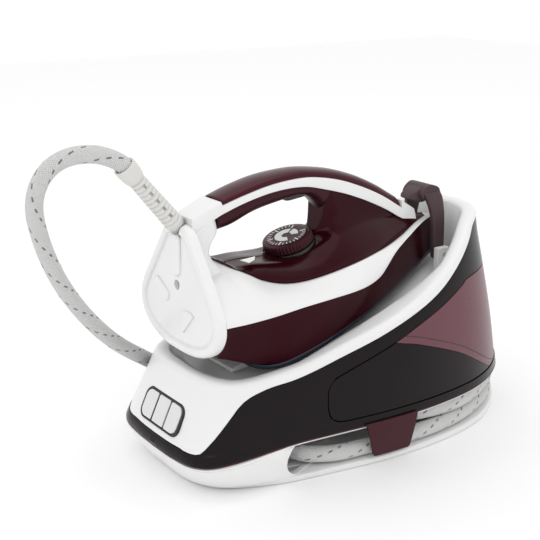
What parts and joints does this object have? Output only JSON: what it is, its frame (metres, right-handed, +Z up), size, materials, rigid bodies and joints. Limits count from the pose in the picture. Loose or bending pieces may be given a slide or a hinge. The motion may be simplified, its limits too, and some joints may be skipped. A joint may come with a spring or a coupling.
{
  "type": "steam generator iron",
  "caption": "Steam station with a hand iron parked on its sloping rest, slide-out rear water tank, lock arch over the nose and a braided steam hose.",
  "frame": {"origin": "centre of the footprint's bounding box at floor level, hose and its strain relief left out", "axes": "+Z up, -X towards the key panel, +X towards the tank, Y is the width"},
  "size_m": [0.4555, 0.2032, 0.2794],
  "materials": {
    "white": "glossy moulded white",
    "dark": "glossy near-black with a plum cast",
    "maroon": "glossy deep maroon",
    "plum": "smoked plum tank moulding",
    "arch": "satin brown plum",
    "grey": "satin light grey",
    "metal": "plain metal",
    "sole": "dark ceramic coated plate",
    "brass": "brass",
    "rubber": "black rubber",
    "board": "green circuit board",
    "hose": "braided textile, light grey with dark flecks",
    "relief": "off-white soft rubber",
    "black": "black moulding"
  },
  "bodies": {
    "base": {"base_tray": "white", "side_shell": "dark", "upper_casing": "white", "base_chassis": "grey", "cord_clip": "maroon", "tray_feet": "rubber", "base_screws": "metal", "rest_block": "grey", "panel_bezel": "black", "control_board": "board", "boiler": "metal", "boiler_heater": "metal", "boiler_thermostat": "black", "safety_valve": "brass", "boiler_strap": "metal", "pump": "black", "pump_mount": "rubber", "steam_valve": "grey", "steam_tube": "relief", "feed_tube": "relief", "hose_outlet": "brass", "mains_gland": "black", "tank_socket": "black", "arch_pin": "metal", "steam_hose": "hose"},
    "tank": {"tank_shell": "plum", "tank_cap": "arch", "tank_valve": "grey", "tank_seal": "rubber"},
    "lock_arch": {"lock_arch": "arch"},
    "iron": {"soleplate": "sole", "heating_element": "metal", "steam_cover": "metal", "sole_skirt": "maroon", "iron_body": "white", "window_shell": "maroon", "handle_cap": "maroon", "handle_strip": "white", "handle_grip": "maroon", "heel_cover": "white", "heel_screw": "metal", "dial_collar": "black", "iron_thermostat": "black", "pilot_lens": "relief", "micro_switch": "black", "iron_chamber_valve": "brass", "strain_relief": "relief"},
    "dial": {"dial": "maroon", "dial_shaft": "metal"},
    "trigger": {"trigger": "grey"},
    "key_left": {"key_left": "grey"},
    "key_middle": {"key_middle": "grey"},
    "key_right": {"key_right": "grey"}
  },
  "joints": [
    {"name": "tank_slide", "type": "slide", "parent": "base", "child": "tank", "axis": [1, 0, 0], "range_m": [0, 0.12]},
    {"name": "arch_hinge", "type": "hinge", "parent": "base", "child": "lock_arch", "pos_m": [0.109, 0, 0.148], "axis": [0, 1, 0], "range_deg": [0, 20]},
    {"name": "iron_lift", "type": "slide", "parent": "base", "child": "iron", "axis": [-0.9848, 0, 0.1736], "range_m": [0, 0.12], "deforming": ["steam_hose"]},
    {"name": "dial_turn", "type": "hinge", "parent": "iron", "child": "dial", "pos_m": [-0.0446, 0, 0.1731], "axis": [-0.3256, 0, 0.9455], "range_deg": [0, 300]},
    {"name": "trigger_press", "type": "slide", "parent": "iron", "child": "trigger", "axis": [-0.2487, 0, 0.9686], "range_m": [0, 0.003], "stiffness_N_per_m": 400},
    {"name": "key_left_press", "type": "slide", "parent": "base", "child": "key_left", "axis": [0.9033, 0, -0.4289], "range_m": [0, 0.0012], "stiffness_N_per_m": 800},
    {"name": "key_middle_press", "type": "slide", "parent": "base", "child": "key_middle", "axis": [0.9033, 0, -0.4289], "range_m": [0, 0.0012], "stiffness_N_per_m": 800},
    {"name": "key_right_press", "type": "slide", "parent": "base", "child": "key_right", "axis": [0.9033, 0, -0.4289], "range_m": [0, 0.0012], "stiffness_N_per_m": 800}
  ]
}
